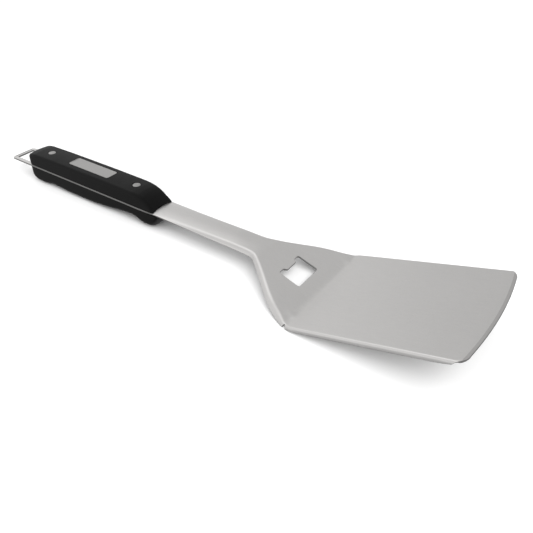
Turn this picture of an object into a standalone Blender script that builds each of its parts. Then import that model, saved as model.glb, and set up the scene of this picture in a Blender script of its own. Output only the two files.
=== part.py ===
"""Grill spatula: a full-tang turner with a bottle opener in its neck.

One pressed steel sheet makes the blade, neck, shank, tang and hanging loop.
Two handle scales are riveted to the tang, and a badge plate lies in the top scale.
+X runs from the hanging loop to the blade, +Y to the left and +Z up.
The tool is stored as it rests: on the handle's lobes and on the heel of the blade.
All dimensions below are millimetres; add_mesh() converts them to metres.
"""
import math

import bpy
from mathutils import Matrix, Vector

MM = 0.001
GAP = 0.3                     # clearance between neighbouring pieces

# Whole tool
LENGTH = 460.0
CENTRE_X = LENGTH / 2         # the origin lies under the middle of the bounding box

# Steel sheet, seen from the side: top surface heights along X
SHEET = 1.5
TANG_TOP = 16.6
TANG_END_X = 186.0            # the shank starts to rise here
TURN_X = 287.0                # the neck starts to fall here
TURN_TOP = 18.8
HEEL_X = 337.8                # fold between neck and blade
HEEL_TOP = 2.78               # lets the turned-down edges touch the floor
BLADE_TILT = math.radians(16.3)
TURN_RADIUS = 22.0
HEEL_RADIUS = 7.0

# Blade outline; the length runs along its top surface, from the fold to the front edge
BLADE_LENGTH = (LENGTH - HEEL_X - SHEET * math.sin(BLADE_TILT)) / math.cos(BLADE_TILT)
BLADE_HALF_WIDTH = 51.5
FRONT_CROWN = 0.00175         # the front edge falls back by this times y squared
FRONT_CORNER_RADIUS = 8.5
GRIND_LENGTH = 2.0            # ground bevel, of even width along the front edge
GRIND_ANGLE = math.radians(20.0)

# Notches that relieve the fold where the neck's edges meet the blade's
RELIEF_X = HEEL_X - 0.4
RELIEF_RADIUS = 0.9
RELIEF_DEPTH = 2.6            # from the blade's side to the notch's round end

# Hanging loop
TANG_HALF_WIDTH = 12.3
LOOP_BAR = 3.7
LOOP_HOLE_END_X = 25.0        # the hole runs on into the handle
LOOP_CORNER_RADIUS = 1.0

# Bottle opener, measured along the neck from its rear edge
OPENER_X = 309.0
OPENER_LENGTH = 17.9
OPENER_HALF_WIDTH = 12.7
OPENER_CORNER_RADIUS = 1.5
TOOTH_LENGTH = 2.6
TOOTH_HALF_TIP = 5.6
TOOTH_HALF_ROOT = 7.4

# Handle
HANDLE_REAR_X = 22.0
HANDLE_HALF_WIDTH = 12.4
REAR_PLAN_RADIUS = 9.0
UPPER_FRONT_X = 183.0
LOWER_FRONT_X = 187.5
FRONT_EASE_LENGTH = 2.5       # the scales narrow a little over this length
FRONT_EASE = 0.12             # by this times the square of the distance
UPPER_CROWN = 0.5             # the top's middle stands this much above its rounding
ROUND_STEPS = 5

# Rivets
RIVET_X = (47.0, 155.5)
RIVET_HEAD_RADIUS = 3.5
RIVET_HEAD_HEIGHT = 1.6
RIVET_EASE = 0.25
SLEEVE_RADIUS = 2.5
PIN_RADIUS = 1.5
PIN_END = 1.2                 # height of the pin's end above the sleeve's head
TURNED_STEPS = 24             # sides of a turned piece or bore

# Badge
BADGE_X = (77.0, 126.6)
BADGE_HALF_WIDTH = 6.3
BADGE_TOP = 29.9
BADGE_THICK = 1.0
BADGE_RIM = 0.8
BADGE_RIM_STEP = 0.3
BADGE_CORNER_RADIUS = 2.2
ADHESIVE_THICK = 0.4
ADHESIVE_INSET = 1.0

# Guide solids reach well past the sheet and the scales
GUIDE_REACH = 15.0
GUIDE_HALF_WIDTH = 60.0


def clear_scene():
    for obj in list(bpy.data.objects):
        bpy.data.objects.remove(obj, do_unlink=True)


def make_material(name, colour, roughness, metallic):
    material = bpy.data.materials.new(name)
    material.use_nodes = True
    shader = material.node_tree.nodes["Principled BSDF"]
    shader.inputs["Base Color"].default_value = (*colour, 1.0)
    shader.inputs["Roughness"].default_value = roughness
    shader.inputs["Metallic"].default_value = metallic
    return material


def add_mesh(name, verts, faces, material=None):
    """Make an object from millimetre points whose X is measured from the loop's end."""
    mesh = bpy.data.meshes.new(name)
    points = [((x - CENTRE_X) * MM, y * MM, z * MM) for x, y, z in verts]
    mesh.from_pydata(points, [], faces)
    mesh.shade_smooth()
    mesh.set_sharp_from_angle(angle=math.radians(35))
    obj = bpy.data.objects.new(name, mesh)
    bpy.context.scene.collection.objects.link(obj)
    if material:
        mesh.materials.append(material)
    return obj


def loft(name, rings, material=None):
    """Join rings of equal point count into one closed solid with flat end caps."""
    count = len(rings[0])
    verts = [point for ring in rings for point in ring]
    faces = []
    for row in range(len(rings) - 1):
        for i in range(count):
            j = (i + 1) % count
            a = row * count
            b = a + count
            faces.append((a + i, a + j, b + j, b + i))
    faces.append(tuple(reversed(range(count))))
    last = (len(rings) - 1) * count
    faces.append(tuple(last + i for i in range(count)))
    return add_mesh(name, verts, faces, material)


def prism(name, outline, low, high, place=None):
    """Extrude a counter-clockwise (x, y) outline from z = low to z = high."""
    move = place or Matrix.Identity(4)
    rings = [[tuple(move @ Vector((x, y, z))) for x, y in outline] for z in (low, high)]
    return loft(name, rings)


def arc(cx, cy, radius, start, end, steps):
    """Points on a circle, both ends included; angles in degrees."""
    points = []
    for i in range(steps + 1):
        angle = math.radians(start + (end - start) * i / steps)
        points.append((cx + radius * math.cos(angle), cy + radius * math.sin(angle)))
    return points


def rounded_rectangle(x0, x1, half_width, radius, steps=4):
    """Counter-clockwise outline, symmetric about the X axis, with round corners."""
    low = -half_width + radius
    high = half_width - radius
    outline = arc(x1 - radius, low, radius, -90, 0, steps)
    outline += arc(x1 - radius, high, radius, 0, 90, steps)
    outline += arc(x0 + radius, high, radius, 90, 180, steps)
    outline += arc(x0 + radius, low, radius, 180, 270, steps)
    return outline


def lathe(name, profile, x, material=None):
    """Turn a profile of (radius, z) points about the vertical line through (x, 0)."""
    rings = []
    for radius, z in profile:
        ring = []
        for i in range(TURNED_STEPS):
            angle = 2 * math.pi * (i + 0.5) / TURNED_STEPS
            ring.append((x + radius * math.cos(angle), radius * math.sin(angle), z))
        rings.append(ring)
    return loft(name, rings, material)


def cut(target, cutter):
    """Subtract a guide solid from a piece."""
    cutter.hide_render = True
    cutter.display_type = "WIRE"
    modifier = target.modifiers.new(cutter.name, "BOOLEAN")
    modifier.operation = "DIFFERENCE"
    modifier.solver = "EXACT"
    modifier.object = cutter


def table(x, rows):
    """Value at x of (x, value) rows, joined by straight lines."""
    if x <= rows[0][0]:
        return rows[0][1]
    for (x0, v0), (x1, v1) in zip(rows, rows[1:]):
        if x <= x1:
            part = (x - x0) / (x1 - x0)
            return v0 + (v1 - v0) * part
    return rows[-1][1]


# ---------------------------------------------------------------- steel sheet

# Edge of the sheet along X: outer half width
HALF_WIDTHS = (
    (0.0, TANG_HALF_WIDTH - 2.6), (0.5, TANG_HALF_WIDTH - 1.1), (1.4, TANG_HALF_WIDTH - 0.3),
    (2.6, TANG_HALF_WIDTH), (190.0, TANG_HALF_WIDTH), (220.0, 12.7), (276.0, 12.9), (283.0, 13.4), (288.0, 15.6),
    (294.0, 20.2),
    (302.0, 27.0), (312.0, 35.6), (319.0, 40.8), (325.0, 44.4), (330.0, 46.9),
    (334.0, 48.9), (337.0, 50.4), (341.0, BLADE_HALF_WIDTH), (LENGTH, BLADE_HALF_WIDTH),
)
# The turned-down edge along X: sideways reach, angle in degrees and straight length
EDGE_REACHES = (
    (182.0, 2.0), (192.0, 3.4), (262.0, 3.6), (292.0, 3.9), (300.0, 4.2), (314.0, 4.7),
    (327.0, 5.2), (333.0, 4.3), (336.0, 3.0), (341.0, 2.1), (348.0, 1.95),
)
EDGE_ANGLES = (
    (182.0, 0.6), (192.0, 6.0), (215.0, 32.0), (240.0, 52.0), (270.0, 62.0),
    (330.0, 62.0), (345.0, 80.0),
)
EDGE_STRAIGHTS = (
    (215.0, 0.3), (262.0, 1.0), (292.0, 2.4), (325.0, 2.2), (336.0, 0.8), (339.5, 0.8),
    (344.0, 2.1), (441.0, 2.0), (455.0, 0.2),
)
EDGE_STEPS = 5
# Height of the shank's middle above its edges along X
CROWN_START_X = 172.0
CROWNS = ((CROWN_START_X, 0.0), (183.0, 1.7), (262.0, 1.7), (290.0, 0.0))
FLAT_PARTS = (0.3, 0.55, 0.8, 1.0)


def side_path():
    """Stations (x, z, slope) on the sheet's top surface, with both bends rounded."""
    rise = math.atan2(TURN_TOP - TANG_TOP, TURN_X - TANG_END_X)
    fall = math.atan2(HEEL_TOP - TURN_TOP, HEEL_X - TURN_X)
    stations = [(x, TANG_TOP, 0.0) for x in (0.0, 0.5, 1.4, 2.6, 60.0, 120.0, 172.0, 183.0)]
    for x in (192.0, 200.0, 208.0, 218.0, 232.0, 247.0, 262.0, 276.0):
        z = TANG_TOP + (x - TANG_END_X) * math.tan(rise)
        stations.append((x, z, rise))
    stations += bend(TURN_X, TURN_TOP, rise, fall, TURN_RADIUS, 6)
    for x in (293.0, 297.0, 302.0, 307.0, 312.0, 319.0, 325.0, 330.0, 334.0):
        z = TURN_TOP + (x - TURN_X) * math.tan(fall)
        stations.append((x, z, fall))
    stations += bend(HEEL_X, HEEL_TOP, fall, BLADE_TILT, HEEL_RADIUS, 6)
    for x in (344.0, 348.0, 380.0, 410.0, 441.0, 455.0, LENGTH + 2.0):
        z = HEEL_TOP + (x - HEEL_X) * math.tan(BLADE_TILT)
        stations.append((x, z, BLADE_TILT))
    return stations


def bend(x, z, before, after, radius, steps):
    """Stations round the corner at (x, z), where the slope changes."""
    turn = after - before
    reach = radius * math.tan(abs(turn) / 2)
    side = math.copysign(1.0, turn)
    start_x = x - reach * math.cos(before)
    start_z = z - reach * math.sin(before)
    centre_x = start_x - side * radius * math.sin(before)
    centre_z = start_z + side * radius * math.cos(before)
    stations = []
    for i in range(steps + 1):
        slope = before + turn * i / steps
        px = centre_x + side * radius * math.sin(slope)
        pz = centre_z - side * radius * math.cos(slope)
        stations.append((px, pz, slope))
    return stations


def sheet_ring(x, z, slope):
    """Cross-section of the sheet at one station, square to its side path."""
    half = table(x, HALF_WIDTHS)
    oblique = (table(x + 2, HALF_WIDTHS) - table(x - 2, HALF_WIDTHS)) / 4
    if x < 5:
        oblique = 0.0
    spread = math.hypot(1.0, oblique)
    angle = math.radians(table(x, EDGE_ANGLES))
    straight = table(x, EDGE_STRAIGHTS)
    reach = table(x, EDGE_REACHES)
    radius = (reach - straight * math.cos(angle)) / math.sin(angle)
    flat = half - reach * spread
    top = [(flat * part, 0.0, 0.0) for part in FLAT_PARTS]
    for i in range(1, EDGE_STEPS + 1):
        turned = angle * i / EDGE_STEPS
        y = flat + radius * math.sin(turned) * spread
        top.append((y, -radius * (1 - math.cos(turned)), turned))
    drop = radius * (1 - math.cos(angle)) + straight * math.sin(angle)
    top.append((half, -drop, angle))
    bottom = []
    for y, up, turned in top:
        under_y = y - SHEET * math.sin(turned) * spread
        bottom.append((under_y, up - SHEET * math.cos(turned), turned))
    section = [(-y, up) for y, up, turned in reversed(bottom)]
    section += [(y, up) for y, up, turned in bottom]
    section += [(y, up) for y, up, turned in reversed(top)]
    section += [(-y, up) for y, up, turned in top]
    crown = table(x, CROWNS)
    section = [(y, up + crown * (1 - (y / half) ** 2)) for y, up in section]
    lean = math.sin(slope)
    rise = math.cos(slope)
    return [(x - up * lean, y, z + up * rise) for y, up in section]


def neck_frame():
    """Frame on the neck's top surface at the opener's rear edge, X along the neck."""
    fall = math.atan2(HEEL_TOP - TURN_TOP, HEEL_X - TURN_X)
    z = TURN_TOP + (OPENER_X - TURN_X) * math.tan(fall)
    return Matrix.Translation((OPENER_X, 0, z)) @ Matrix.Rotation(-fall, 4, "Y")


def blade_frame():
    """Frame on the blade's top surface at the fold, X along the blade."""
    return Matrix.Translation((HEEL_X, 0, HEEL_TOP)) @ Matrix.Rotation(-BLADE_TILT, 4, "Y")


def opener_outline():
    """Rounded rectangle with a tooth on its rear edge."""
    radius = OPENER_CORNER_RADIUS
    near = OPENER_HALF_WIDTH - radius
    far = OPENER_LENGTH - radius
    outline = arc(far, -near, radius, -90, 0, 4)
    outline += arc(far, near, radius, 0, 90, 4)
    outline += arc(radius, near, radius, 90, 180, 4)
    outline += [(0.0, TOOTH_HALF_ROOT), (TOOTH_LENGTH, TOOTH_HALF_TIP)]
    outline += [(TOOTH_LENGTH, -TOOTH_HALF_TIP), (0.0, -TOOTH_HALF_ROOT)]
    outline += arc(radius, -near, radius, 180, 270, 4)
    return outline


def front_outline():
    """Area ahead of the blade's crowned front edge and its rounded corners."""
    radius = FRONT_CORNER_RADIUS
    corner_y = BLADE_HALF_WIDTH - radius
    corner_x = BLADE_LENGTH - FRONT_CROWN * corner_y ** 2 - radius
    edge = arc(corner_x, -corner_y, radius, -90, 0, 8)
    steps = 16
    for i in range(1, steps):
        y = -corner_y + 2 * corner_y * i / steps
        edge.append((BLADE_LENGTH - FRONT_CROWN * y * y, y))
    edge += arc(corner_x, corner_y, radius, 0, 90, 8)
    far_x = BLADE_LENGTH + GUIDE_REACH
    outside = [(corner_x, GUIDE_HALF_WIDTH), (far_x, GUIDE_HALF_WIDTH)]
    outside += [(far_x, -GUIDE_HALF_WIDTH), (corner_x, -GUIDE_HALF_WIDTH)]
    return list(reversed(outside + edge))


def grind_guide():
    """Guide above the ground bevel, curved along the blade like its front edge."""
    place = blade_frame()
    slope = math.tan(GRIND_ANGLE)
    over = 6.0
    steps = 30
    rings = []
    for i in range(steps + 1):
        y = GUIDE_HALF_WIDTH * (2 * i / steps - 1)
        start = BLADE_LENGTH - FRONT_CROWN * y * y - GRIND_LENGTH
        near = start - 1.0
        far = start + GUIDE_REACH
        section = [(near, over), (far, over), (far, -GUIDE_REACH * slope), (near, slope)]
        rings.append([tuple(place @ Vector((x, y, z))) for x, z in section])
    return loft("cut_grind", rings)


def relief_outline(side):
    """Narrow round-ended notch that opens at the blade's side; side is 1 or -1."""
    tip = BLADE_HALF_WIDTH - RELIEF_DEPTH + RELIEF_RADIUS
    left = RELIEF_X - RELIEF_RADIUS
    right = RELIEF_X + RELIEF_RADIUS
    outline = arc(RELIEF_X, tip, RELIEF_RADIUS, 180, 360, 8)
    outline += [(right, BLADE_HALF_WIDTH + 5), (left, BLADE_HALF_WIDTH + 5)]
    if side > 0:
        return outline
    return [(x, -y) for x, y in reversed(outline)]


def make_steel_body(material):
    body = loft("steel_body", [sheet_ring(*station) for station in side_path()], material)

    under = TANG_TOP - GUIDE_REACH
    over = TANG_TOP + GUIDE_REACH
    hole_half = TANG_HALF_WIDTH - LOOP_BAR
    hole = rounded_rectangle(LOOP_BAR, LOOP_HOLE_END_X, hole_half, LOOP_CORNER_RADIUS)
    cut(body, prism("cut_loop", hole, under, over))
    for label, x in zip(("rear", "front"), RIVET_X):
        radius = SLEEVE_RADIUS + GAP
        cut(body, lathe("cut_tang_" + label, [(radius, under), (radius, over)], x))

    cut(body, prism("cut_opener", opener_outline(), -4, 4, neck_frame()))
    cut(body, prism("cut_front", front_outline(), -8, 8, blade_frame()))

    cut(body, grind_guide())

    for label, side in (("right", -1), ("left", 1)):
        cut(body, prism("cut_relief_" + label, relief_outline(side), -3, 8))
    return body


# --------------------------------------------------------------- handle scales

# Height of the upper scale's ridge, and depth of the lower scale, along X
UPPER_HEIGHTS = (
    (22.0, 22.6), (23.0, 24.6), (25.0, 26.4), (29.0, 28.0), (35.0, 29.0), (60.0, 29.7),
    (90.0, 30.0), (125.0, 30.2), (150.0, 30.1), (162.0, 29.9), (167.0, 29.4),
    (171.0, 28.2), (175.0, 26.0), (178.5, 23.1), (181.5, 19.9), (183.0, 17.8),
)
LOWER_HEIGHTS = (
    (22.0, 10.5), (23.5, 7.0), (27.0, 3.4), (31.5, 1.0), (36.0, 0.0), (44.0, 0.0),
    (52.0, 2.2), (62.0, 1.8), (76.0, 0.8), (105.0, 0.8), (128.0, 2.2), (148.0, 4.6),
    (157.0, 4.8), (162.0, 3.0), (166.0, 0.8), (169.0, 0.0), (175.0, 0.0),
    (179.0, 1.4), (183.0, 4.8), (186.0, 9.0), (187.0, 11.5), (187.5, 13.2),
)
# Radius between each scale's side and its outer face along X
UPPER_ROUNDING = ((158.0, 2.7), (170.0, 4.4))
LOWER_ROUNDING = (
    (24.0, 3.4), (36.0, 6.0), (60.0, 5.4), (110.0, 5.4), (150.0, 7.0), (168.0, 8.6),
)


def plan_half_width(x, front_x):
    """Half width of a scale: rounded at the rear, straight, eased at the front."""
    rear = max(HANDLE_REAR_X + REAR_PLAN_RADIUS - x, 0.0)
    bulge = math.sqrt(REAR_PLAN_RADIUS ** 2 - rear ** 2)
    front = max(x - (front_x - FRONT_EASE_LENGTH), 0.0)
    half = HANDLE_HALF_WIDTH - REAR_PLAN_RADIUS + bulge
    return half - FRONT_EASE * front * front


def scale_ring(x, half, inner, outer, rounding, crown):
    """Cross-section between the flat inner face and the rounded outer face."""
    way = math.copysign(1.0, outer - inner)
    height = abs(outer - inner)
    round_y = min(rounding, half * 0.8)
    round_z = min(rounding, height * 0.6)
    crown = min(crown, height * 0.2)
    flat = half - round_y
    right = [(half, inner)]
    edge = outer - way * crown
    for i in range(ROUND_STEPS + 1):
        angle = math.radians(90 * i / ROUND_STEPS)
        y = flat + round_y * math.cos(angle)
        right.append((y, edge - way * round_z * (1 - math.sin(angle))))
    for part in (0.7, 0.35):
        right.append((flat * part, outer - way * crown * part * part))
    ring = right + [(0.0, outer)] + [(-y, z) for y, z in reversed(right)]
    points = [(x, y, z) for y, z in ring]
    return points if way > 0 else list(reversed(points))


def crown_guide(inner):
    """Guide for the hollow that lets the upper scale sit over the crowned shank."""
    rings = []
    for x in (CROWN_START_X + 0.5, 177.0, UPPER_FRONT_X, UPPER_FRONT_X + 4):
        rise = table(x, CROWNS)
        ring = [(x, -TANG_HALF_WIDTH, inner - 3), (x, TANG_HALF_WIDTH, inner - 3)]
        for i in range(13):
            part = 1 - i / 6
            ring.append((x, TANG_HALF_WIDTH * part, inner + rise * (1 - part * part)))
        rings.append(ring)
    return loft("cut_crown", rings)


def make_upper_scale(material):
    inner = TANG_TOP + GAP
    rings = []
    stations = (22.0, 22.7, 23.8, 26.0, 29.0, 33.0, 40.0, 60.0, 76.0, 100.0, 127.5, 150.0,
                162.0, 167.0, 171.0, 175.0, 178.5, 181.5, 183.0)
    for x in stations:
        half = plan_half_width(x, UPPER_FRONT_X)
        outer = table(x, UPPER_HEIGHTS)
        rounding = table(x, UPPER_ROUNDING)
        rings.append(scale_ring(x, half, inner, outer, rounding, UPPER_CROWN))
    scale = loft("upper_handle_scale", rings, material)
    for label, x in zip(("rear", "front"), RIVET_X):
        cut(scale, rivet_bore("cut_upper_" + label, x, 1))
    floor = BADGE_TOP - BADGE_THICK - ADHESIVE_THICK - 2 * GAP
    recess_half = BADGE_HALF_WIDTH + GAP
    recess_radius = BADGE_CORNER_RADIUS + GAP
    recess = rounded_rectangle(BADGE_X[0] - GAP, BADGE_X[1] + GAP, recess_half, recess_radius)
    cut(scale, prism("cut_badge", recess, floor, BADGE_TOP + 4))
    cut(scale, crown_guide(inner))
    return scale


def make_lower_scale(material):
    inner = TANG_TOP - SHEET - GAP
    rings = []
    stations = (22.0, 22.7, 23.8, 26.0, 29.0, 32.0, 36.0, 44.0, 52.0, 62.0, 76.0, 105.0,
                128.0, 140.0, 148.0, 157.0, 162.0, 166.0, 169.0, 175.0, 179.0, 183.0,
                186.0, 187.0, 187.5)
    for x in stations:
        half = plan_half_width(x, LOWER_FRONT_X)
        outer = table(x, LOWER_HEIGHTS)
        rounding = table(x, LOWER_ROUNDING)
        rings.append(scale_ring(x, half, inner, outer, rounding, 0.0))
    scale = loft("lower_handle_scale", rings, material)
    for label, x in zip(("rear", "front"), RIVET_X):
        cut(scale, rivet_bore("cut_lower_" + label, x, -1))
    return scale


# ---------------------------------------------------- rivets, badge, adhesive

def rivet_face(x, side):
    """Height of a rivet head's outer face, flush with the scale round it."""
    if side > 0:
        return table(x, UPPER_HEIGHTS) - 0.1
    return table(x, LOWER_HEIGHTS) + 0.3


def rivet_bore(name, x, side):
    """Stepped bore: wide for the head, narrow for the shaft."""
    face = rivet_face(x, side)
    seat = face - side * (RIVET_HEAD_HEIGHT + GAP)
    wide = RIVET_HEAD_RADIUS + GAP
    narrow = SLEEVE_RADIUS + GAP
    profile = [(narrow, TANG_TOP), (narrow, seat), (wide, seat), (wide, face + side * 8)]
    if side < 0:
        profile.reverse()
    return lathe(name, profile, x)


def make_rivet(label, x, material):
    """A two-part cutlery rivet: the top half has a pin, the bottom half a sleeve."""
    top = rivet_face(x, 1)
    bottom = rivet_face(x, -1)
    under_head = top - RIVET_HEAD_HEIGHT
    over_head = bottom + RIVET_HEAD_HEIGHT
    sleeve_top = under_head - GAP
    bore = PIN_RADIUS + GAP
    pin_end = over_head + PIN_END
    ease = RIVET_EASE
    pin_profile = [
        (PIN_RADIUS, pin_end), (PIN_RADIUS, under_head), (RIVET_HEAD_RADIUS, under_head),
        (RIVET_HEAD_RADIUS, top - ease), (RIVET_HEAD_RADIUS - ease, top), (1.2, top + 0.05),
    ]
    sleeve_profile = [
        (1.2, bottom), (RIVET_HEAD_RADIUS - ease, bottom), (RIVET_HEAD_RADIUS, bottom + ease),
        (RIVET_HEAD_RADIUS, over_head), (SLEEVE_RADIUS, over_head), (SLEEVE_RADIUS, sleeve_top),
        (bore, sleeve_top), (bore, pin_end - GAP),
    ]
    lathe(label + "_rivet", pin_profile, x, material)
    lathe(label + "_rivet_sleeve", sleeve_profile, x, material)


def make_badge(plate_material, pad_material):
    """A plate with a raised rim, on an adhesive pad in the recess."""
    low = BADGE_TOP - BADGE_THICK
    x0, x1 = BADGE_X
    radius = BADGE_CORNER_RADIUS
    rim = BADGE_RIM
    outer = rounded_rectangle(x0, x1, BADGE_HALF_WIDTH, radius)
    inner = rounded_rectangle(x0 + rim, x1 - rim, BADGE_HALF_WIDTH - rim, radius - 0.6)
    rings = [[(x, y, low) for x, y in outer], [(x, y, BADGE_TOP) for x, y in outer]]
    rings.append([(x, y, BADGE_TOP) for x, y in inner])
    rings.append([(x, y, BADGE_TOP - BADGE_RIM_STEP) for x, y in inner])
    loft("badge_plate", rings, plate_material)

    inset = ADHESIVE_INSET
    pad = rounded_rectangle(x0 + inset, x1 - inset, BADGE_HALF_WIDTH - inset, 1.0)
    pad_low = low - GAP - ADHESIVE_THICK
    pad_rings = [[(x, y, z) for x, y in pad] for z in (pad_low, pad_low + ADHESIVE_THICK)]
    loft("badge_adhesive", pad_rings, pad_material)


def main():
    clear_scene()
    steel = make_material("brushed_stainless", (0.62, 0.62, 0.61), 0.32, 1.0)
    rivet_steel = make_material("rivet_steel", (0.60, 0.60, 0.60), 0.30, 1.0)
    badge_steel = make_material("badge_steel", (0.66, 0.66, 0.66), 0.38, 1.0)
    black_upper = make_material("black_scale_upper", (0.028, 0.028, 0.030), 0.62, 0.0)
    black_lower = make_material("black_scale_lower", (0.026, 0.026, 0.028), 0.62, 0.0)
    adhesive = make_material("adhesive_foam", (0.75, 0.75, 0.72), 0.80, 0.0)

    make_steel_body(steel)
    make_upper_scale(black_upper)
    make_lower_scale(black_lower)
    for label, x in zip(("rear", "front"), RIVET_X):
        make_rivet(label, x, rivet_steel)
    make_badge(badge_steel, adhesive)


main()
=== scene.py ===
"""Looks of the grill spatula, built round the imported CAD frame.

Meshes are worked out in millimetres, with X measured from the hanging loop's end as in
the CAD source. add_mesh() moves them into the frame, in metres.
"""
import math

import bpy
import numpy as np
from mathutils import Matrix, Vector
from mathutils.geometry import delaunay_2d_cdt


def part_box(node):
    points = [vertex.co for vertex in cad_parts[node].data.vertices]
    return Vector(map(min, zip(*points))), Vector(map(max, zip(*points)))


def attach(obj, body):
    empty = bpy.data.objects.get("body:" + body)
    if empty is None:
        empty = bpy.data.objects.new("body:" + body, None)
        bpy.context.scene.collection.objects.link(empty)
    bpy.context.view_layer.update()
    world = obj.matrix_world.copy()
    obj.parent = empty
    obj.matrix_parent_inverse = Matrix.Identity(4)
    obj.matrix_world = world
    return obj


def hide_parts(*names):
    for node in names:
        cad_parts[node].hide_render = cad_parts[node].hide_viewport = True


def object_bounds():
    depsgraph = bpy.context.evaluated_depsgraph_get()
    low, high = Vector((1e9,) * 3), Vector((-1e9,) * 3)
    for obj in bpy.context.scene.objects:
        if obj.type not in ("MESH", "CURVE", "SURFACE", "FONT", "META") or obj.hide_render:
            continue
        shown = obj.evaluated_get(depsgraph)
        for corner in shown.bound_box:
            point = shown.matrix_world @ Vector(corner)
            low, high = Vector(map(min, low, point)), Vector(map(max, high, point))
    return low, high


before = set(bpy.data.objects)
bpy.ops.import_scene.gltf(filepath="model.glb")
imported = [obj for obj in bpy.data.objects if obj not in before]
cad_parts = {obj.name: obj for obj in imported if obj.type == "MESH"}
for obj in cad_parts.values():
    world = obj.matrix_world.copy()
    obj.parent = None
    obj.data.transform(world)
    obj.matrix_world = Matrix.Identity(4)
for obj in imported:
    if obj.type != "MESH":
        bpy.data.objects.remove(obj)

CAD_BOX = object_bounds()
MM = 0.001
SHARP_ANGLE = math.radians(40)  # edges that turn more than this are shaded as sharp


def extents(node):
    """Lowest and highest corner of a CAD node, in mm, with X from the loop's end."""
    start = Vector((CAD_BOX[0].x, 0.0, 0.0))
    return [(corner - start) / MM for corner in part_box(node)]


STEEL_HIGH = extents("steel_body")[1]
UPPER_LOW, UPPER_HIGH = extents("upper_handle_scale")
LOWER_LOW, LOWER_HIGH = extents("lower_handle_scale")
BADGE_LOW, BADGE_HIGH = extents("badge_plate")
GAP = 0.3                       # clearance that the CAD leaves between pieces

# Steel sheet, seen from the side: top surface heights along X
SHEET = 1.5
TANG_TOP = UPPER_LOW.z - GAP
TANG_END_X = 186.0              # the shank starts to rise here
TANG_BEND_RADIUS = 460.0
TURN_X = 287.0                  # the neck starts to fall here
TURN_TOP = 18.8
TURN_RADIUS = 22.0
HEEL_X = 337.8                  # fold between neck and blade
HEEL_TOP = 2.78
HEEL_RADIUS = 7.0
BLADE_TILT = math.radians(16.3)

# Blade outline, measured along its top surface from the fold
LENGTH = STEEL_HIGH.x
BLADE_LENGTH = (LENGTH - HEEL_X - SHEET * math.sin(BLADE_TILT)) / math.cos(BLADE_TILT)
BLADE_HALF_WIDTH = STEEL_HIGH.y
FRONT_CROWN = 0.00175           # the front edge falls back by this times y squared
FRONT_CORNER_RADIUS = 8.5
GRIND_LENGTH = 2.0              # ground bevel, of even width along the front edge
GRIND_ANGLE = math.radians(20.0)

# Hanging loop
TANG_HALF_WIDTH = 12.3
LOOP_END_RADIUS = 2.6
LOOP_BAR = 3.7
LOOP_HOLE_END_X = 25.0
LOOP_CORNER_RADIUS = 1.0

# Bottle opener, measured along the neck from its rear edge
OPENER_X = 309.0
OPENER_LENGTH = 17.9
OPENER_HALF_WIDTH = 12.7
OPENER_CORNER_RADIUS = 1.5
TOOTH_LENGTH = 2.6
TOOTH_HALF_TIP = 5.6
TOOTH_HALF_ROOT = 7.4
TOOTH_RADIUS = 0.8

# Notches and press marks at the shoulders, where the neck's edges meet the blade's
RELIEF_X = HEEL_X - 0.4
RELIEF_HALF_LENGTH = 0.9
RELIEF_DEPTH = 3.0
DIMPLE_X = 336.5
DIMPLE_Y = 38.5
DIMPLE_REACH = 3.2
DIMPLE_HEIGHT = 0.7

EDGE_ROUND = 0.28               # worn radius along every cut edge of the sheet
THIN_EDGE_SHARE = 0.35          # most of an edge's thickness that the radius takes
ROUND_STEPS = 4

# Spacing of the sheet's mesh
EDGE_CLEARANCE = 0.25           # inner points keep this far from every edge
FLAT_SPACING = 1.8
BEND_ROWS = 12
LOOP_SIDE_STEP = 3.0
OPENER_SIDE_STEP = 1.5
BORE_POINTS = 48
BEVEL_REACH = 53                # rows along the bevel reach this far, in steps of 1 mm

# Outer half width of the sheet along X
HALF_WIDTHS = (
    (0.0, TANG_HALF_WIDTH), (190.0, TANG_HALF_WIDTH), (220.0, 12.7), (276.0, 12.9),
    (283.0, 13.4), (288.0, 15.6), (294.0, 20.2), (302.0, 27.0), (312.0, 35.6),
    (319.0, 40.8), (325.0, 44.4), (330.0, 46.9), (334.0, 48.9), (337.0, 50.4),
    (341.0, BLADE_HALF_WIDTH), (LENGTH, BLADE_HALF_WIDTH),
)
# The turned-down edge along X: sideways reach, angle in degrees and straight length
EDGE_REACHES = (
    (182.0, 2.0), (192.0, 3.4), (262.0, 3.6), (292.0, 3.9), (300.0, 4.2), (314.0, 4.7),
    (327.0, 5.2), (333.0, 4.3), (336.0, 3.0), (341.0, 2.1), (348.0, 1.95),
)
EDGE_ANGLES = (
    (182.0, 0.6), (192.0, 6.0), (215.0, 32.0), (240.0, 52.0), (270.0, 62.0),
    (330.0, 62.0), (345.0, 80.0),
)
EDGE_STRAIGHTS = (
    (215.0, 0.3), (262.0, 1.0), (292.0, 2.4), (325.0, 2.2), (336.0, 0.8), (339.5, 0.8),
    (344.0, 2.1), (441.0, 2.0), (455.0, 0.2),
)
# Height of the shank's middle above its edges along X
CROWNS = ((172.0, 0.0), (183.0, 1.7), (262.0, 1.7), (290.0, 0.0))
HOLLOW_START_X = 171.0          # the upper scale is hollowed from here to fit over it
HOLLOW_END_X = 190.0
HOLLOW_SINK = 0.06              # the hollow's edges lie this far under the scale's face

# Handle scales, seen from above
HANDLE_REAR_X = UPPER_LOW.x
HANDLE_HALF_WIDTH = UPPER_HIGH.y
REAR_PLAN_RADIUS = 9.0
FRONT_EASE_LENGTH = 2.5         # the sides draw in over this length at the front
FRONT_EASE = 0.12               # by this times the distance squared

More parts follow.
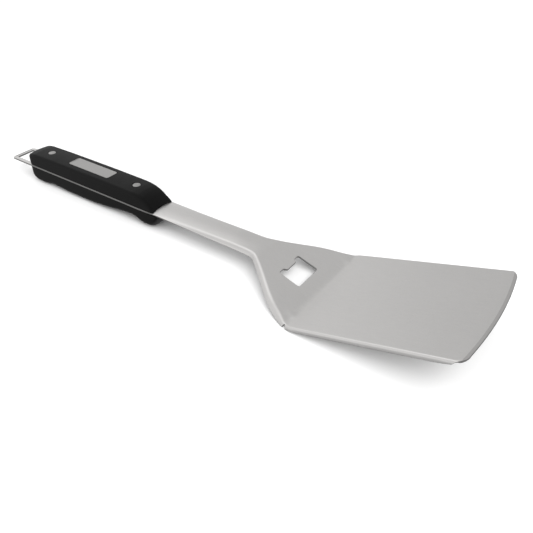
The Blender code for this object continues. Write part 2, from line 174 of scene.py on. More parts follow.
# Heights of the upper scale's ridge and of the lower scale's underside along X
UPPER_HEIGHTS = (
    (22.0, 22.6), (23.0, 24.6), (25.0, 26.4), (29.0, 28.0), (35.0, 29.0), (60.0, 29.7),
    (90.0, 30.0), (125.0, 30.2), (150.0, 30.1), (162.0, 29.9), (167.0, 29.4),
    (171.0, 28.2), (175.0, 26.0), (178.5, 23.1), (181.5, 19.9), (183.0, 17.8),
)
LOWER_HEIGHTS = (
    (22.0, 10.5), (23.5, 7.0), (27.0, 3.4), (31.5, 1.0), (36.0, 0.0), (44.0, 0.0),
    (52.0, 2.2), (62.0, 1.8), (76.0, 0.8), (105.0, 0.8), (128.0, 2.2), (148.0, 4.6),
    (157.0, 4.8), (162.0, 3.0), (166.0, 0.8), (169.0, 0.0), (175.0, 0.0),
    (179.0, 1.4), (183.0, 4.8), (186.0, 9.0), (187.0, 11.5), (187.5, 13.2),
)
# Radius between a scale's outer face and its sides along X
UPPER_ROUNDING = ((158.0, 2.7), (170.0, 4.4))
LOWER_ROUNDING = (
    (24.0, 3.4), (36.0, 6.0), (60.0, 5.4), (110.0, 5.4), (150.0, 7.0), (168.0, 8.6),
)
UPPER_CROWN = 0.5               # rise of the outer face from its sides to its middle
PARTING_EDGE = 0.35             # small radius where a scale meets the tang

# Badge, and its recess with a chamfered mouth
BADGE_CORNER_RADIUS = 2.2
RECESS_CLEARANCE = 0.2
RECESS_MOUTH = 0.6
RECESS_CHAMFER_DEPTH = 0.35

# Rivets and their stepped bores
RIVET_HEAD_RADIUS = 3.5
RIVET_HEAD_HEIGHT = 1.6
RIVET_HEAD_CLEARANCE = 0.12
SLEEVE_RADIUS = 2.5
SLEEVE_BORE = SLEEVE_RADIUS + GAP
PIN_RADIUS = 1.5
BORE_CHAMFER = 0.1

STEEL_WARMTH = 0.016            # how much more red than green the steel's grey holds

# Camera, in metres, degrees and millimetres
CAMERA_AT = (0.26774, -0.30015, 0.27348)
CAMERA_AZIMUTH = 34.87
CAMERA_PITCH = 36.70
CAMERA_LENS = 40.17
CAMERA_SENSOR = 36.0

# The surround's level, and its areas: azimuth, elevation, strength and tightness
WORLD_BASE = 0.66
WORLD_AREAS = (
    (172, 60, 0.84, 18.0),
    (93, 49, 0.15, 12.0),
    (140, 13, 0.28, 7.0),
    (120, 32, -0.22, 20.0),
    (195, 15, 0.28, 5.0),
    (251, 20, 0.26, 6.0),
    (243, -12, 0.45, 10.0),
    (235, -55, -0.50, 3.0),
    (0, 45, -0.45, 5.0),
)

# Softbox that lightens the shadows on the floor, in metres and watts
FILL_AZIMUTH = 330
FILL_ELEVATION = 50
FILL_DISTANCE = 4.0
FILL_TARGET = (0.0, 0.1, 0.0)
FILL_WIDTH = 4.0
FILL_HEIGHT = 3.0
FILL_POWER = 185.0
FLOOR_REACH = 30.0              # from the middle to each side, in metres


def rivet_places(label):
    """A rivet's axis, and the heights where its pin half and its sleeve half end."""
    pin_low, pin_high = extents(label + "_rivet")
    sleeve_low, sleeve_high = extents(label + "_rivet_sleeve")
    return {
        "x": (pin_low.x + pin_high.x) / 2, "top": pin_high.z, "pin_end": pin_low.z,
        "bottom": sleeve_low.z, "sleeve_top": sleeve_high.z,
    }


RIVETS = {label: rivet_places(label) for label in ("rear", "front")}


# ------------------------------------------------------------------ mesh helpers

def add_mesh(name, verts, faces, materials, slots=None):
    """Make an object from millimetre points whose X is measured from the loop's end."""
    points = np.asarray(verts, float) * MM
    points[:, 0] += CAD_BOX[0].x
    mesh = bpy.data.meshes.new(name)
    mesh.from_pydata(points.tolist(), [], faces)
    for material in materials:
        mesh.materials.append(material)
    if slots is not None:
        mesh.polygons.foreach_set("material_index", slots)
    mesh.shade_smooth()
    mesh.set_sharp_from_angle(angle=SHARP_ANGLE)
    mesh.validate()
    obj = bpy.data.objects.new(name, mesh)
    bpy.context.scene.collection.objects.link(obj)
    return obj


def smooth(x, rows, reach=3.0, samples=13):
    """Value at x of (x, value) rows, with the corners of the table rounded."""
    xs, values = np.array(rows, float).T
    steps = np.linspace(-reach, reach, samples)
    return np.mean([np.interp(x + step, xs, values) for step in steps], axis=0)


def arc(cx, cy, radius, start, end, steps):
    """Points on a circle, both ends included; angles in degrees."""
    turns = np.radians(np.linspace(start, end, steps + 1))
    return [(cx + radius * math.cos(t), cy + radius * math.sin(t)) for t in turns]


def rounded_rectangle(x0, x1, half_width, radius, steps=8):
    """Counter-clockwise outline, symmetric about the X axis, with round corners."""
    near = half_width - radius
    outline = arc(x1 - radius, -near, radius, -90, 0, steps)
    outline += arc(x1 - radius, near, radius, 0, 90, steps)
    outline += arc(x0 + radius, near, radius, 90, 180, steps)
    outline += arc(x0 + radius, -near, radius, 180, 270, steps)
    return outline


def round_corner(before, corner, after, reach, steps=4):
    """Points of a quadratic curve that rounds one corner of an outline."""
    before, corner, after = Vector(before), Vector(corner), Vector(after)
    start = corner + (before - corner).normalized() * reach
    end = corner + (after - corner).normalized() * reach
    points = []
    for i in range(steps + 1):
        t = i / steps
        points.append(tuple(start.lerp(corner, t).lerp(corner.lerp(end, t), t)))
    return points


def subdivide(outline, step):
    """Closed outline with extra points, so that no side is longer than step."""
    points = []
    for (x0, y0), (x1, y1) in zip(outline, outline[1:] + outline[:1]):
        count = max(1, math.ceil(math.hypot(x1 - x0, y1 - y0) / step))
        for i in range(count):
            points.append((x0 + (x1 - x0) * i / count, y0 + (y1 - y0) * i / count))
    return points


def subdivide_sides(outline, steps=12, long_side=5.0):
    """Outline with its long sides split evenly, so that every ring has equal counts."""
    points = []
    for (x0, y0), (x1, y1) in zip(outline, outline[1:] + outline[:1]):
        count = steps if math.hypot(x1 - x0, y1 - y0) > long_side else 1
        for i in range(count):
            points.append((x0 + (x1 - x0) * i / count, y0 + (y1 - y0) * i / count))
    return points


def outward(loop, longest=1 / 0.7):
    """Steps away from the material, which lies on the left of the loop.

    They are one unit long, and longer at a corner, so that its sides stay parallel.
    """
    loop = np.asarray(loop, float)
    ahead = np.roll(loop, -1, axis=0) - loop
    ahead /= np.linalg.norm(ahead, axis=1)[:, None]
    behind = np.roll(ahead, 1, axis=0)
    along = ahead + behind
    along /= np.linalg.norm(along, axis=1)[:, None]
    mitre = 1.0 / np.maximum((along * ahead).sum(axis=1), 1 / longest)
    return np.stack([along[:, 1], -along[:, 0]], axis=1) * mitre[:, None]


def inside(points, loop):
    """True for the points that lie inside a closed loop."""
    px, py = np.asarray(points, float).T
    loop = np.asarray(loop, float)
    found = np.zeros(len(px), bool)
    for (x0, y0), (x1, y1) in zip(loop, np.roll(loop, -1, axis=0)):
        if y0 != y1:
            crosses = (y0 > py) != (y1 > py)
            found ^= crosses & (px < x0 + (py - y0) * (x1 - x0) / (y1 - y0))
    return found


def clearance(points, loop):
    """Distance from each point to the nearest side of a closed loop."""
    points = np.asarray(points, float)
    loop = np.asarray(loop, float)
    nearest = np.full(len(points), np.inf)
    for a, b in zip(loop, np.roll(loop, -1, axis=0)):
        side = b - a
        part = np.clip((points - a) @ side / max(side @ side, 1e-12), 0, 1)
        away = np.linalg.norm(points - a - part[:, None] * side, axis=1)
        nearest = np.minimum(nearest, away)
    return nearest


def triangulate(loops, inner, keep_off):
    """Triangles between the first loop and the others, which are holes in it.

    The loops' points come first, in order, and then the inner points that lie in the
    material and at least keep_off from its edges.
    """
    inner = np.asarray(inner, float)
    wanted = inside(inner, loops[0])
    for hole in loops[1:]:
        wanted &= ~inside(inner, hole)
    inner = inner[wanted]
    for loop in loops:
        inner = inner[clearance(inner, loop) > keep_off]
    points = np.concatenate([np.asarray(loop, float) for loop in loops] + [inner])
    edges = []
    start = 0
    for loop in loops:
        count = len(loop)
        edges += [(start + i, start + (i + 1) % count) for i in range(count)]
        start += count
    made = delaunay_2d_cdt([Vector(p) for p in points], edges, [], 0, 1e-7)
    made_faces, made_from = made[2:4]
    given = [ids[0] for ids in made_from]
    triangles = np.array([[given[i] for i in face] for face in made_faces])
    middles = points[triangles].mean(axis=1)
    kept = inside(middles, loops[0])
    for hole in loops[1:]:
        kept &= ~inside(middles, hole)
    return points, triangles[kept]


def bridge(first, second):
    """Quads between two closed rings of vertex numbers."""
    count = len(first)
    return [
        (first[i], second[i], second[(i + 1) % count], first[(i + 1) % count])
        for i in range(count)
    ]


def loft(name, rings, materials):
    """Join rings of equal point count into one closed solid with flat end caps."""
    count = len(rings[0])
    verts = [point for ring in rings for point in ring]
    faces = []
    for row in range(len(rings) - 1):
        first = range(row * count, (row + 1) * count)
        second = range((row + 1) * count, (row + 2) * count)
        faces += [tuple(reversed(face)) for face in bridge(first, second)]
    faces.append(tuple(reversed(range(count))))
    last = (len(rings) - 1) * count
    faces.append(tuple(range(last, last + count)))
    return add_mesh(name, verts, faces, materials)


def lathe(name, profile, x, materials, steps=64):
    """Turn a profile of (radius, z) points about the vertical line through (x, 0)."""
    turns = 2 * math.pi * (np.arange(steps) + 0.5) / steps
    rings = []
    for radius, z in profile:
        rings.append([(x + radius * math.cos(t), radius * math.sin(t), z) for t in turns])
    return loft(name, rings, materials)


def prism(name, outlines, heights):
    """Guide solid through one outline per height, all with equal point counts."""
    rings = [[(x, y, z) for x, y in outline] for outline, z in zip(outlines, heights)]
    return loft(name, rings, [])


def cut(target, cutters):
    """Subtract the guide solids from a piece, and remove them."""
    for cutter in cutters:
        modifier = target.modifiers.new(cutter.name, "BOOLEAN")
        modifier.operation = "DIFFERENCE"
        modifier.solver = "EXACT"
        modifier.object = cutter
    depsgraph = bpy.context.evaluated_depsgraph_get()
    result = bpy.data.meshes.new_from_object(target.evaluated_get(depsgraph))
    target.modifiers.clear()
    target.data = result
    for cutter in cutters:
        bpy.data.objects.remove(cutter, do_unlink=True)
    result.set_sharp_from_angle(angle=SHARP_ANGLE)


# ------------------------------------------------------------------- steel sheet

def side_path():
    """Stretches of the sheet's side path: start, x, z, slope and curvature."""
    past_blade = 200.0          # any length beyond the blade's front edge
    end_x = HEEL_X + past_blade * math.cos(BLADE_TILT)
    end_z = HEEL_TOP + past_blade * math.sin(BLADE_TILT)
    corners = (
        (0.0, TANG_TOP, 0.0),
        (TANG_END_X, TANG_TOP, TANG_BEND_RADIUS),
        (TURN_X, TURN_TOP, TURN_RADIUS),
        (HEEL_X, HEEL_TOP, HEEL_RADIUS),
        (end_x, end_z, 0.0),
    )
    slopes = []
    for (x0, z0, _), (x1, z1, _) in zip(corners, corners[1:]):
        slopes.append(math.atan2(z1 - z0, x1 - x0))
    stretches = [(0.0, 0.0, TANG_TOP, slopes[0], 0.0)]
    for (x, z, radius), before, after in zip(corners[1:-1], slopes, slopes[1:]):
        start, x0, z0 = stretches[-1][:3]
        turn = after - before
        reach = radius * math.tan(abs(turn) / 2)
        x1 = x - reach * math.cos(before)
        z1 = z - reach * math.sin(before)
        start += math.hypot(x1 - x0, z1 - z0)
        stretches.append((start, x1, z1, before, math.copysign(1 / radius, turn)))
        x2 = x + reach * math.cos(after)
        z2 = z + reach * math.sin(after)
        stretches.append((start + radius * abs(turn), x2, z2, after, 0.0))
    return np.array(stretches)


PATH = side_path()


def path_at(s):
    """x, z and slope of the sheet's top surface at path lengths s."""
    start, x0, z0, slope0, bend = PATH[np.searchsorted(PATH[:, 0], s, side="right") - 1].T
    run = s - start
    slope = slope0 + bend * run
    bent = bend != 0
    safe = np.where(bent, bend, 1.0)
    along = np.where(bent, (np.sin(slope) - np.sin(slope0)) / safe, run * np.cos(slope0))
    rise = np.where(bent, (np.cos(slope0) - np.cos(slope)) / safe, run * np.sin(slope0))
    return x0 + along, z0 + rise, slope


def path_length_at(x):
    """Path length where the sheet's side path is at x."""
    past_blade = PATH[-1, 0] + 150
    lengths = np.linspace(0, past_blade, 8000)
    return np.interp(x, path_at(lengths)[0], lengths)


# Path lengths less this one are distances along the blade from the fold's corner
BLADE_START = PATH[-1, 0] - HEEL_RADIUS * math.tan((PATH[-1, 3] - PATH[-3, 3]) / 2)


def edge_shape(x):
    """The turned-down edge along X.

    Gives the flat part's half width, the bend's radius and angle, the straight part, how
    much wider the bend is measured across the tool than square to its slanting edge, and
    the outer half width.
    """
    half = smooth(x, HALF_WIDTHS)
    slant = (smooth(x + 1, HALF_WIDTHS) - smooth(x - 1, HALF_WIDTHS)) / 2
    spread = np.hypot(1.0, slant)
    angle = np.radians(smooth(x, EDGE_ANGLES, 6.0))
    straight = smooth(x, EDGE_STRAIGHTS)
    reach = smooth(x, EDGE_REACHES)
    radius = (reach - straight * np.cos(angle)) / np.sin(angle)
    return half - reach * spread, radius, angle, straight, spread, half


def edge_width(x):
    """Half width of the flattened sheet at x."""
    flat, radius, angle, straight, spread, _ = edge_shape(x)
    return flat + spread * (radius * angle + straight)


def unfold(x, y):
    """Distance across the flattened sheet of a point at half width y."""
    flat, radius, angle, _, spread, _ = edge_shape(x)
    bent = np.clip((y - flat) / (radius * spread), 0, np.sin(angle))
    over = np.maximum(y - flat - radius * spread * np.sin(angle), 0) / np.cos(angle)
    return np.minimum(y, flat) + radius * spread * np.arcsin(bent) + over


def crown_at(x):
    """Height of the shank's middle above its edges at x."""
    return smooth(x, CROWNS, 4.0)


def sheet_surface(s, w):
    """Points of the sheet's top surface, at s along its path and w across it."""
    x, z, slope = path_at(s)
    flat, radius, angle, _, spread, half = edge_shape(x)
    across = np.abs(w)
    turned = np.clip((across - flat) / (radius * spread), 0, angle)
    past = np.maximum(across - flat - radius * spread * angle, 0)
    y = np.minimum(across, flat) + radius * spread * np.sin(turned) + past * np.cos(angle)
    up = -radius * (1 - np.cos(turned)) - past / spread * np.sin(angle)
    up += crown_at(x) * (1.0 - (y / half) ** 2)
    away = (x - DIMPLE_X) ** 2 + (y - DIMPLE_Y) ** 2
    up += DIMPLE_HEIGHT * np.exp(-away / DIMPLE_REACH ** 2)
    return np.stack([x - up * np.sin(slope), np.sign(w) * y, z + up * np.cos(slope)], axis=1)


def sheet_points(s, w, depth):
    """Points at a depth under the sheet's top surface."""
    probe = 0.02
    along = sheet_surface(s + probe, w) - sheet_surface(s - probe, w)
    across = sheet_surface(s, w + probe) - sheet_surface(s, w - probe)
    normal = np.cross(along, across)
    normal /= np.linalg.norm(normal, axis=1)[:, None]
    return sheet_surface(s, w) - normal * depth[:, None]


def grind_start(w):
    """Path length where the ground bevel starts, w across the sheet."""
    return BLADE_START + BLADE_LENGTH - FRONT_CROWN * w ** 2 - GRIND_LENGTH


def ground_off(s, w):
    """Depth of the ground bevel below the blade's top surface."""
    return np.maximum(s - grind_start(w), 0) * math.tan(GRIND_ANGLE)


def spaced(stretches):
    """Evenly spaced values in each of several (first, end, step) stretches."""
    return np.concatenate([np.arange(*stretch) for stretch in stretches])


def sheet_side():
    """Edge of the flattened sheet from the loop's end to the front, on the +Y side."""
    side = arc(LOOP_END_RADIUS, TANG_HALF_WIDTH - LOOP_END_RADIUS, LOOP_END_RADIUS, 180, 90, 8)
    relief = path_length_at(RELIEF_X)
    corner_y = BLADE_HALF_WIDTH - FRONT_CORNER_RADIUS
    corner = BLADE_LENGTH - FRONT_CROWN * corner_y ** 2 - FRONT_CORNER_RADIUS
    end = BLADE_START + corner
    # The gap round the relief is left to the notch's own points
    stations = spaced([
        (4.0, 180.0, 3.0), (180.0, 276.0, 1.5), (276.0, relief - 2, 0.7),
        (relief + 2, relief + 8, 0.7), (relief + 9, end, 2.0),
    ])
    turns = np.radians(np.linspace(180, 0, 13))
    notch = [(relief + RELIEF_HALF_LENGTH * math.cos(t), -RELIEF_DEPTH * math.sin(t))
             for t in turns]
    points = [(s, 0.0) for s in stations] + notch
    points.sort()
    lengths, drops = np.array(points).T
    widths = edge_width(path_at(lengths)[0]) + drops
    side += list(zip(lengths, widths))
    for u, y in arc(corner, corner_y, FRONT_CORNER_RADIUS, 90, 0, 14):
        s = BLADE_START + u
        side.append((s, float(unfold(path_at(np.array([s]))[0], y)[0])))
    for y in np.linspace(corner_y, 0, 22)[1:]:
        side.append((BLADE_START + BLADE_LENGTH - FRONT_CROWN * y * y, y))
    return side


def opener_outline():
    """Hole with a tooth on its rear edge, on the flattened sheet."""
    near = OPENER_HALF_WIDTH - OPENER_CORNER_RADIUS
    far = OPENER_LENGTH - OPENER_CORNER_RADIUS
    radius = OPENER_CORNER_RADIUS
    outline = arc(far, -near, radius, -90, 0, 6)
    outline += arc(far, near, radius, 0, 90, 6)
    outline += arc(radius, near, radius, 90, 180, 6)
    tooth = [
        (0, TOOTH_HALF_ROOT + 2), (0, TOOTH_HALF_ROOT), (TOOTH_LENGTH, TOOTH_HALF_TIP),
        (TOOTH_LENGTH, -TOOTH_HALF_TIP), (0, -TOOTH_HALF_ROOT), (0, -TOOTH_HALF_ROOT - 2),
    ]
    for before, corner, after in zip(tooth, tooth[1:], tooth[2:]):
        outline += round_corner(before, corner, after, TOOTH_RADIUS)
    outline += arc(radius, -near, radius, 180, 270, 6)
    start = float(path_length_at(OPENER_X))
    return [(start + x, y) for x, y in outline]


def sheet_grid():
    """Points inside the flattened sheet, closer together where it bends."""
    grid = []
    stations = spaced([
        (1.0, 180.0, 4.0), (180.0, 274.0, 1.6), (274.0, 343.0, 0.8),
        (344.0, grind_start(0) - 1, 3.0),
    ])
    for s in stations:
        x = path_at(np.array([s]))[0]
        flat = float(edge_shape(x)[0][0])
        edge = float(edge_width(x)[0])
        rows = max(6, round(flat / FLAT_SPACING))
        # The last two points of the flat part lie close together, beside the bend
        row = list(np.linspace(0, flat - 0.3, rows)) + [flat]
        row += list(np.linspace(flat, edge, BEND_ROWS + 1)[1:])
        grid += [(s, w) for w in row if s < grind_start(w) - 1]
        grid += [(s, -w) for w in row[1:] if s < grind_start(w) - 1]
    # Rows just before and after the bevel's start keep its edge crisp
    across = np.linspace(-BEVEL_REACH, BEVEL_REACH, 2 * BEVEL_REACH + 1)
    for ahead in (-0.12, 0.12, 1.0):
        grid += [(grind_start(w) + ahead, w) for w in across]
    return grid


def sheet_edges():
    """Every cut edge of the flattened sheet, with the material on its left."""
    side = sheet_side()
    outer = side + [(s, -w) for s, w in reversed(side) if w > 0]
    outer.reverse()
    hole = rounded_rectangle(LOOP_BAR, LOOP_HOLE_END_X, TANG_HALF_WIDTH - LOOP_BAR,
                             LOOP_CORNER_RADIUS)
    edges = [
        outer,
        subdivide(list(reversed(hole)), LOOP_SIDE_STEP),
        subdivide(list(reversed(opener_outline())), OPENER_SIDE_STEP),
    ]
    last_turn = 360 - 360 / BORE_POINTS
    for rivet in RIVETS.values():
        bore = arc(rivet["x"], 0, SLEEVE_BORE, 0, last_turn, BORE_POINTS - 1)
        edges.append(list(reversed(bore)))
    return edges


def worn_rings(edge, radius):
    """Rings of points over a worn edge, from the sheet's top face to its underside."""
    outside = np.array(edge)
    away = outward(edge)
    profile = [(i, False) for i in range(1, ROUND_STEPS + 1)]
    profile += [(i, True) for i in range(ROUND_STEPS, 0, -1)]
    rings = []
    for i, under in profile:
        turn = math.pi / 2 * i / ROUND_STEPS
        inset = radius * (1 - math.sin(turn))
        sunk = radius * (1 - math.cos(turn))
        at = outside - away * inset[:, None]
        depth = SHEET - sunk if under else ground_off(*at.T) + sunk
        rings.append(sheet_points(at[:, 0], at[:, 1], depth))
    return rings


def make_steel_body(steel, ground):
    """The sheet: a top face and an underside, joined by a worn edge round every cut."""
    edges = sheet_edges()
    worn = []
    for edge in edges:
        thickness = SHEET - ground_off(*np.array(edge).T)
        worn.append(np.minimum(EDGE_ROUND, thickness * THIN_EDGE_SHARE))
    loops = []
    for edge, radius in zip(edges, worn):
        loops.append(np.array(edge) - outward(edge) * radius[:, None])
    points, triangles = triangulate(loops, sheet_grid(), EDGE_CLEARANCE)

    s, w = points.T
    top = sheet_points(s, w, ground_off(s, w))
    bottom = sheet_points(s, w, np.full(len(s), SHEET))
    verts = [top, bottom]
    count = len(points)
    faces = [tuple(t) for t in triangles]
    past_start = (s - grind_start(w))[triangles].mean(axis=1)
    slots = list((past_start > 0).astype(int))
    faces += [tuple(reversed(t + count)) for t in triangles]

    painted_edge_shade = [np.zeros(2 * count)]
    total = 2 * count
    start = 0
    for edge, radius in zip(edges, worn):
        size = len(edge)
        rings = [range(start, start + size)]
        for ring in worn_rings(edge, radius):
            verts.append(ring)
            painted_edge_shade.append(np.ones(size))
            rings.append(range(total, total + size))
            total += size
        rings.append(range(count + start, count + start + size))
        for first, second in zip(rings, rings[1:]):
            faces += bridge(first, second)
        start += size
    slots += [0] * (len(faces) - len(slots))
    body = add_mesh("steel_sheet", np.concatenate(verts), faces, [steel, ground], slots)
    # This mask marks the rings over every cut edge, where the steel's colour gets painted
    # shade
    layer = body.data.attributes.new("painted_edge_shade", "FLOAT", "POINT")
    layer.data.foreach_set("value", np.concatenate(painted_edge_shade).astype(np.float32))
    return body


# -------------------------------------------------------- handle scales and rivets

def plan_half_width(x, front_x):
    """Half width of a scale: rounded at the rear, straight, eased at the front."""
    rear = max(HANDLE_REAR_X + REAR_PLAN_RADIUS - x, 0.0)
    bulge = math.sqrt(REAR_PLAN_RADIUS ** 2 - rear ** 2)
    front = max(x - (front_x - FRONT_EASE_LENGTH), 0.0)
    half = HANDLE_HALF_WIDTH - REAR_PLAN_RADIUS + bulge
    return half - FRONT_EASE * front * front


def scale_ring(x, half, inner, outer, rounding, crown):
    """Cross-section between the flat inner face and the rounded outer face."""
    way = math.copysign(1.0, outer - inner)
    height = abs(outer - inner)
    round_y = min(rounding, half * 0.8)
    round_z = min(rounding, height * 0.6)
    crown = min(crown, height * 0.2)
    flat = half - round_y
    small = min(PARTING_EDGE, height * 0.1, half * 0.3)
    right = []
    for turn in np.radians(np.linspace(0, 90, 4)):
        right.append((half - small * (1 - math.sin(turn)),
                      inner + way * small * (1 - math.cos(turn))))
    edge = outer - way * crown
    wall = edge - way * round_z
    start = right[-1][1]
    for part in (0.35, 0.7):
        right.append((half, start + (wall - start) * part))
    for turn in np.radians(np.linspace(0, 90, 11)):
        y = flat + round_y * math.cos(turn)
        right.append((y, edge - way * round_z * (1 - math.sin(turn))))
    for part in (0.85, 0.7, 0.5, 0.3, 0.12):
        right.append((flat * part, outer - way * crown * part * part))
    ring = right + [(0.0, outer)] + [(-y, z) for y, z in reversed(right)]
    points = [(x, y, z) for y, z in ring]
    return points if way > 0 else list(reversed(points))


def handle_stations(front_x):
    """Places of the cross-sections, close together where the ends curve."""
    rear = HANDLE_REAR_X
    rounded = [rear + 14.0 * (1 - math.cos(t)) for t in np.linspace(0, math.pi / 2, 15)]
    rest = spaced([(rear + 16, front_x - 32, 4.0), (front_x - 31, front_x - 0.4, 1.0)])
    return rounded + list(rest) + [front_x]


def rivet_cutter(label, inner, outer):
    """Stepped bore with a small chamfer where it meets the scale's face."""
    rivet = RIVETS[label]
    side = 1 if outer > inner else -1
    face = rivet["top"] if side > 0 else rivet["bottom"]
    seat = face - side * (RIVET_HEAD_HEIGHT + GAP)
    wide = RIVET_HEAD_RADIUS + RIVET_HEAD_CLEARANCE
    through = inner - side * 2
    profile = [
        (SLEEVE_BORE, through), (SLEEVE_BORE, seat), (wide, seat),
        (wide, face - side * BORE_CHAMFER),
        (wide + 4 * BORE_CHAMFER, face + side * BORE_CHAMFER * 3),
    ]
    if side < 0:
        profile.reverse()
    return lathe("cut_" + label, profile, rivet["x"], [], BORE_POINTS)


def crown_cutter(inner):
    """Guide for the hollow that lets the upper scale sit over the crowned shank."""
    below = inner - 3
    rings = []
    for x in np.linspace(HOLLOW_START_X, HOLLOW_END_X, 14):
        rise = float(crown_at(x))
        ring = [(x, TANG_HALF_WIDTH, below)]
        for part in np.linspace(1.0, -1.0, 25):
            height = inner - HOLLOW_SINK + rise * (1 - part * part)
            ring.append((x, TANG_HALF_WIDTH * part, height))
        ring.append((x, -TANG_HALF_WIDTH, below))
        rings.append(ring)
    return loft("cut_crown", rings, [])


def badge_cutter():
    """Guide for the badge's recess, which widens at its mouth."""
    outlines = []
    for around in (RECESS_CLEARANCE, RECESS_CLEARANCE, RECESS_MOUTH):
        outlines.append(rounded_rectangle(
            BADGE_LOW.x - around, BADGE_HIGH.x + around, BADGE_HIGH.y + around,
            BADGE_CORNER_RADIUS + around))
    recess_floor = extents("badge_adhesive")[0].z - GAP
    above_top = UPPER_HIGH.z + 0.3
    heights = (recess_floor, BADGE_HIGH.z - RECESS_CHAMFER_DEPTH, above_top)
    return prism("cut_badge", outlines, heights)


def make_upper_scale(material):
    """Top half of the handle, with the badge's recess and both rivets' bores."""
    inner = UPPER_LOW.z
    rings = []
    for x in handle_stations(UPPER_HIGH.x):
        half = plan_half_width(x, UPPER_HIGH.x)
        outer = float(smooth(x, UPPER_HEIGHTS, 0.8))
        rounding = float(smooth(x, UPPER_ROUNDING))
        rings.append(scale_ring(x, half, inner, outer, rounding, UPPER_CROWN))
    scale = loft("upper_scale", rings, [material])
    cutters = [rivet_cutter(label, inner, UPPER_HIGH.z) for label in RIVETS]
    cutters += [crown_cutter(inner), badge_cutter()]
    cut(scale, cutters)
    return scale


def make_lower_scale(material):
    """Bottom half of the handle, with a rear lobe and a front finger guard."""
    inner = LOWER_HIGH.z
    rings = []
    for x in handle_stations(LOWER_HIGH.x):
        half = plan_half_width(x, LOWER_HIGH.x)
        outer = max(float(smooth(x, LOWER_HEIGHTS, 1.2)), LOWER_LOW.z)
        rounding = float(smooth(x, LOWER_ROUNDING, 4.0))
        rings.append(scale_ring(x, half, inner, outer, rounding, 0.0))
    scale = loft("lower_scale", rings, [material])
    cut(scale, [rivet_cutter(label, inner, LOWER_LOW.z) for label in RIVETS])
    return scale


def make_rivet(label, material):
    """A two-part cutlery rivet: the top half has a pin, the bottom half a sleeve."""
    rivet = RIVETS[label]
    top = rivet["top"]
    bottom = rivet["bottom"]
    under_head = top - RIVET_HEAD_HEIGHT
    over_head = bottom + RIVET_HEAD_HEIGHT
    bore = PIN_RADIUS + GAP
    head = RIVET_HEAD_RADIUS
    pin = [
        (PIN_RADIUS - 0.3, rivet["pin_end"]), (PIN_RADIUS, rivet["pin_end"] + 0.3),
        (PIN_RADIUS, under_head), (head - 0.1, under_head), (head, under_head + 0.1),
        (head, top - 0.5), (head - 0.1, top - 0.27), (head - 0.28, top - 0.12),
        (head - 0.55, top - 0.05), (head * 0.6, top - 0.015), (0.4, top),
    ]
    sleeve = [
        (0.4, bottom), (head * 0.6, bottom + 0.015), (head - 0.45, bottom + 0.04),
        (head - 0.2, bottom + 0.08), (head - 0.06, bottom + 0.17), (head, bottom + 0.3),
        (head, over_head - 0.1), (head - 0.1, over_head), (SLEEVE_RADIUS, over_head),
        (SLEEVE_RADIUS, rivet["sleeve_top"]), (bore, rivet["sleeve_top"]),
        (bore, rivet["pin_end"] - GAP),
    ]
    return (lathe(label + "_rivet_pin", pin, rivet["x"], [material]),
            lathe(label + "_rivet_base", sleeve, rivet["x"], [material]))


def make_badge(material):
    """Plate with a raised, rounded rim round a slightly sunk field."""
    x0, x1, half = BADGE_LOW.x, BADGE_HIGH.x, BADGE_HIGH.y
    low, top = BADGE_LOW.z, BADGE_HIGH.z
    profile = (
        (0.15, low), (0.0, low + 0.15), (0.0, top - 0.2), (0.06, top - 0.06), (0.2, top),
        (0.6, top), (0.74, top - 0.06), (0.85, top - 0.22), (1.0, top - 0.28),
        (1.3, top - 0.28),
    )
    rings = []
    for inset, z in profile:
        radius = BADGE_CORNER_RADIUS - inset * 0.6
        outline = rounded_rectangle(x0 + inset, x1 - inset, half - inset, radius)
        rings.append([(x, y, z) for x, y in subdivide_sides(outline)])
    return loft("badge", rings, [material])


# --------------------------------------------------------------------- materials

class Graph:
    """Adds shader nodes to one node tree and joins them."""

    def __init__(self, tree):
        self.tree = tree

    def add(self, kind, inputs=None, **settings):
        """A new node with these settings, and each input linked or given its value."""
        node = self.tree.nodes.new(kind)
        for name, value in settings.items():
            setattr(node, name, value)
        for name, value in (inputs or {}).items():
            socket = node.inputs[name]
            if isinstance(value, bpy.types.NodeSocket):
                self.tree.links.new(value, socket)
            else:
                socket.default_value = value
        return node

    def noise(self, stretch, detail=3.0, roughness=0.6):
        """Noise in object space, with so many cells per metre along X, Y and Z."""
        position = self.add("ShaderNodeTexCoord").outputs["Object"]
        scaled = self.add("ShaderNodeMapping", {"Vector": position, "Scale": stretch})
        made = self.add("ShaderNodeTexNoise", {
            "Vector": scaled.outputs["Vector"], "Scale": 1.0, "Detail": detail,
            "Roughness": roughness,
        })
        return made.outputs["Fac"]

    def spread(self, value, low, high, start=0.3, end=0.7):
        """Map a noise value, which mostly lies in start..end, to low..high."""
        made = self.add("ShaderNodeMapRange", {
            "Value": value, "From Min": start, "From Max": end, "To Min": low, "To Max": high,
        })
        return made.outputs["Result"]

    def mix(self, share, first, second, blend="MIX"):
        """Mix two colours, given as values or as sockets."""
        factor, colour_a, colour_b, result = 0, 6, 7, 2
        node = self.add("ShaderNodeMix", {factor: share, colour_a: first, colour_b: second},
                        data_type="RGBA", blend_type=blend)
        return node.outputs[result]

    def math(self, operation, first, second):
        """One arithmetic step on two values or sockets."""
        node = self.add("ShaderNodeMath", {0: first, 1: second}, operation=operation)
        return node.outputs[0]


def new_material(name):
    """A material with only a Principled shader, and its Graph."""
    material = bpy.data.materials.new(name)
    material.use_nodes = True
    return material, Graph(material.node_tree), material.node_tree.nodes["Principled BSDF"]


def grey(value, warm=0.0):
    """A grey, with a little more red than blue where it is warm."""
    return (value * (1 + warm), value, value * (1 - warm), 1.0)


